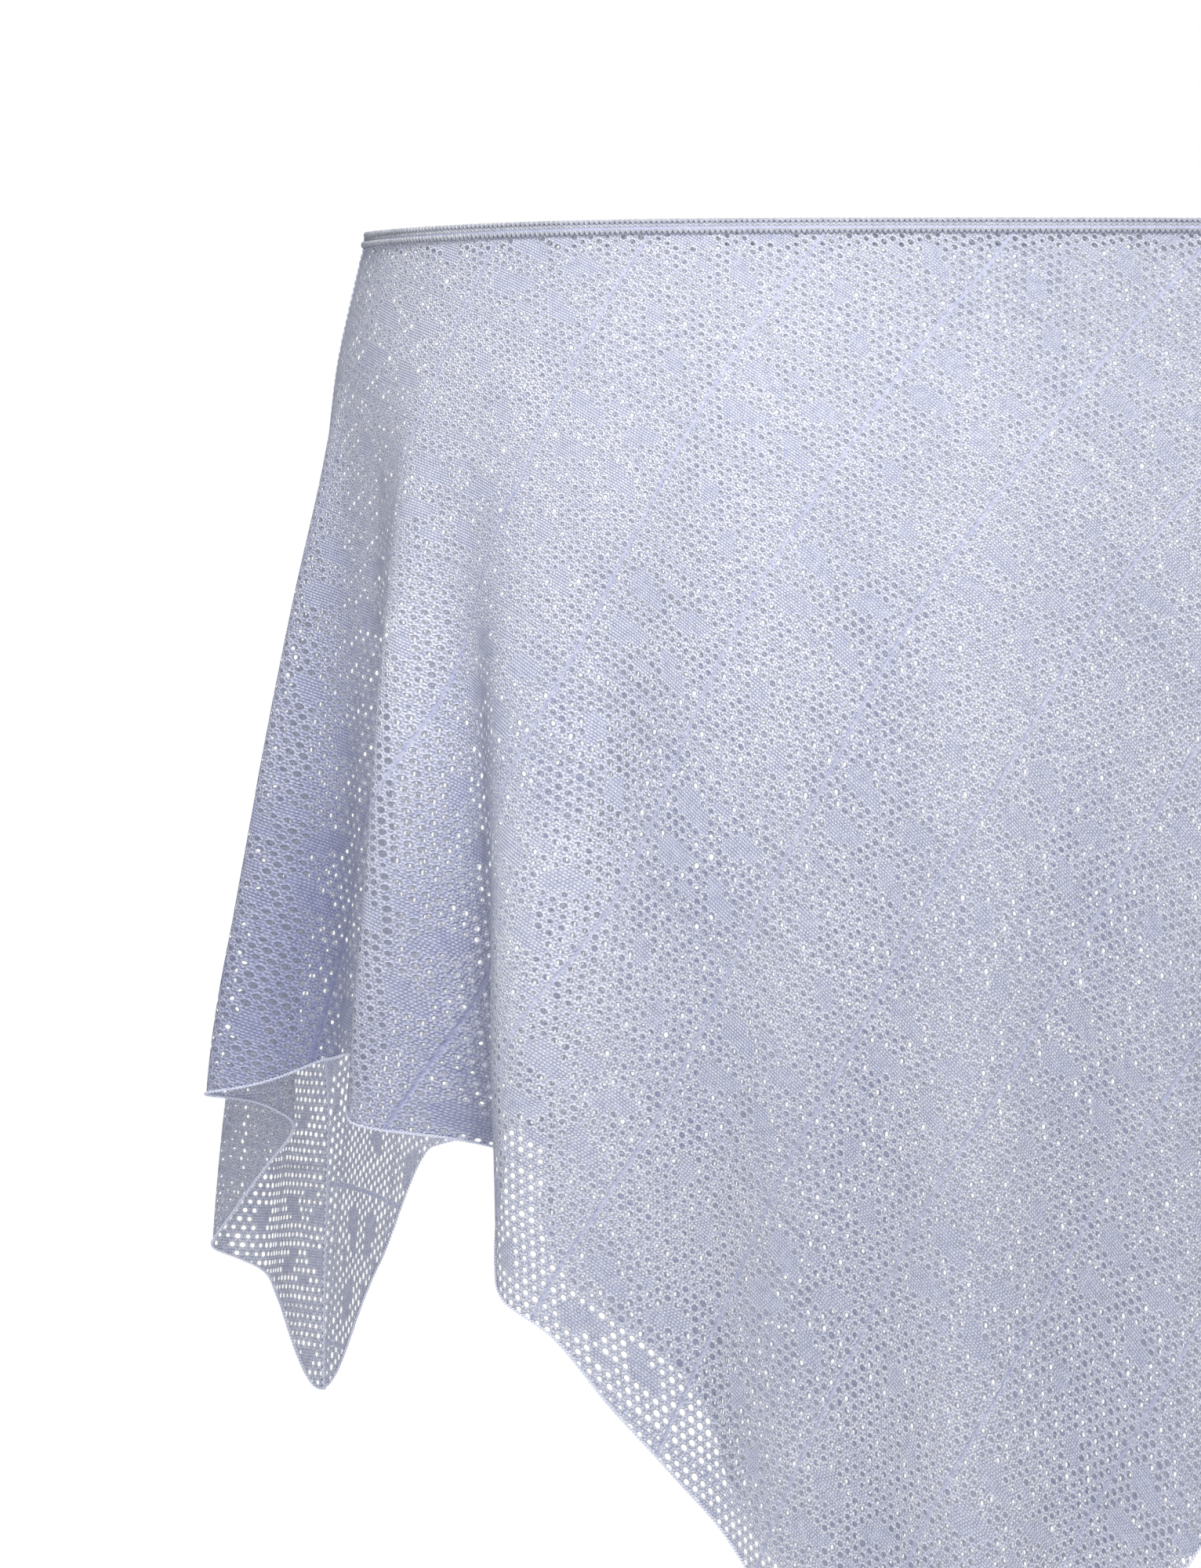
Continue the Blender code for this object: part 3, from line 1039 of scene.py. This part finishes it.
class PONCHO_OT_hem_edge(bpy.types.Operator):
    """Bind the hem with a fine chain"""

    bl_idname = "poncho.hem_edge"
    bl_label = "Hem edge"

    def execute(self, context):
        look = context.scene.poncho_edges
        tree = stitch_tree("hem_stitch", HEM_LEGS)
        for side, is_front in (("front", True), ("back", False)):
            angle, depth = panel_places(HEM_POINTS, 3, is_front)
            grid = cloth_point(angle, depth)
            fine = np.stack([grid[-2] + (grid[-1] - grid[-2]) * s for s in (0.98, 0.99, 1.0)])
            lines = [(grid[-1], grid_normals(fine)[-1], False)]
            piece = stitched("hem_edge_" + side, lines, tree, look.hem_step, look.hem_yarn, edge_finish())
            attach(piece, "root")
        return {"FINISHED"}


class PONCHO_OT_side_seams(bpy.types.Operator):
    """Sew the front to the back down each arm"""

    bl_idname = "poncho.side_seams"
    bl_label = "Side seams"

    def execute(self, context):
        look = context.scene.poncho_edges
        tree = stitch_tree("seam_stitch", SEAM_LEGS)
        for side, index in (("left", 1), ("right", 2)):
            depth = np.linspace(TRIM_HEIGHT, SEAM_END, SEAM_POINTS)
            angle = read(SEAMS, index, depth)
            depth = np.minimum(depth, hem_depth(angle))
            out = outward_at(angle, depth)
            lines = [(cloth_point(angle, depth, SEAM_LIFT * sign), out * sign, False) for sign in (1, -1)]
            piece = stitched("side_seam_" + side, lines, tree, look.seam_step, look.hem_yarn, edge_finish())
            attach(piece, "root")
        return {"FINISHED"}


def place_light(light, place, target):
    lamp = bpy.data.objects.new(light.name, light)
    lamp.location = place
    lamp.rotation_euler = aim(place, target)
    bpy.context.scene.collection.objects.link(lamp)


def area_light(name, power, width, place):
    """A soft square light on the poncho."""
    light = bpy.data.lights.new(name, "AREA")
    light.energy = power
    light.shape = "RECTANGLE"
    light.size = light.size_y = width
    place_light(light, place, MIDDLE)


def chest_light(power):
    """A small light with a soft edge."""
    light = bpy.data.lights.new("chest_glow", "SPOT")
    light.energy = power
    light.spot_size = math.radians(CHEST_LIGHT_ANGLE)
    light.spot_blend = 1.0
    light.shadow_soft_size = CHEST_LIGHT_RADIUS
    place_light(light, CHEST_LIGHT_PLACE, CHEST_LIGHT_TARGET)


def aim(place, target):
    """The turn that points a camera or a light from one place at another."""
    x, y, z = (t - p for t, p in zip(target, place))
    return math.atan2(math.hypot(x, y), -z), 0.0, math.atan2(-x, y)


def set_surround(strength):
    """An even surround, white to the camera and a little cool as light."""
    world = bpy.data.worlds.new("surround")
    bpy.context.scene.world = world
    world.use_nodes = True
    tree = world.node_tree
    tree.nodes.clear()
    seen = put(tree, "ShaderNodeLightPath", output="Is Camera Ray")
    brightness = seen + (1.0 - seen) * strength
    tint = mixed(tree, seen, colour(SKY_TINT), colour((1.0, 1.0, 1.0)))
    background = put(tree, "ShaderNodeBackground", {"Color": tint, "Strength": brightness})
    put(tree, "ShaderNodeOutputWorld", {0: background})


def set_floor():
    mesh = bpy.data.meshes.new("floor")
    corners = [(x * FLOOR_HALF, y * FLOOR_HALF, FLOOR_LEVEL) for x, y in ((-1, -1), (1, -1), (1, 1), (-1, 1))]
    mesh.from_pydata(corners, [], [(0, 1, 2, 3)])
    material = floor_material("pale_floor")
    show("floor", mesh, material)


def set_camera(distance, view_width):
    """A long lens, level, in front of the shown side."""
    camera = bpy.data.cameras.new("camera")
    camera.sensor_fit = "HORIZONTAL"
    camera.sensor_width = SENSOR
    camera.lens = SENSOR * distance / view_width
    camera.clip_end = 100.0
    eye = bpy.data.objects.new("camera", camera)
    eye.location = (MIDDLE[0], MIDDLE[1] - distance, MIDDLE[2])
    eye.rotation_euler = (math.pi / 2, 0.0, 0.0)
    bpy.context.scene.collection.objects.link(eye)
    bpy.context.scene.camera = eye


class PONCHO_OT_stage(bpy.types.Operator):
    """Set the floor, the soft studio light and the camera"""

    bl_idname = "poncho.stage"
    bl_label = "Stage"

    def execute(self, context):
        look = context.scene.poncho_stage
        context.scene.view_settings.view_transform = "Standard"
        set_surround(look.sky)
        set_floor()
        for name, width, place in AREA_LIGHTS:
            area_light(name, getattr(look, name), width, place)
        chest_light(look.glow)
        set_camera(look.distance, look.view_width)
        return {"FINISHED"}


class PONCHO_PT_panel(bpy.types.Panel):
    """Lists the pieces and their settings"""

    bl_label = "Poncho"
    bl_idname = "PONCHO_PT_panel"
    bl_space_type = "VIEW_3D"
    bl_region_type = "UI"
    bl_category = "Poncho"

    def draw(self, context):
        for operator in OPERATORS:
            self.layout.operator(operator.bl_idname)
        for group in ("poncho_cloth", "poncho_edges", "poncho_stage"):
            settings = getattr(context.scene, group)
            for name in settings.__annotations__:
                self.layout.prop(settings, name)


OPERATORS = (
    PONCHO_OT_front_cloth,
    PONCHO_OT_back_cloth,
    PONCHO_OT_neck_band,
    PONCHO_OT_neck_trim,
    PONCHO_OT_hem_edge,
    PONCHO_OT_side_seams,
    PONCHO_OT_stage,
)
GROUPS = {"poncho_cloth": ClothLook, "poncho_edges": EdgeLook, "poncho_stage": StageLook}


def register():
    for kind in (*GROUPS.values(), *OPERATORS, PONCHO_PT_panel):
        bpy.utils.register_class(kind)
    for name, kind in GROUPS.items():
        setattr(bpy.types.Scene, name, bpy.props.PointerProperty(type=kind))


def unregister():
    for name in GROUPS:
        delattr(bpy.types.Scene, name)
    for kind in (PONCHO_PT_panel, *OPERATORS, *GROUPS.values()):
        bpy.utils.unregister_class(kind)


def main():
    register()
    bpy.ops.poncho.front_cloth()
    bpy.ops.poncho.back_cloth()
    bpy.ops.poncho.neck_band()
    bpy.ops.poncho.neck_trim()
    bpy.ops.poncho.hem_edge()
    bpy.ops.poncho.side_seams()
    bpy.ops.poncho.stage()


if __name__ == "__main__":
    main()
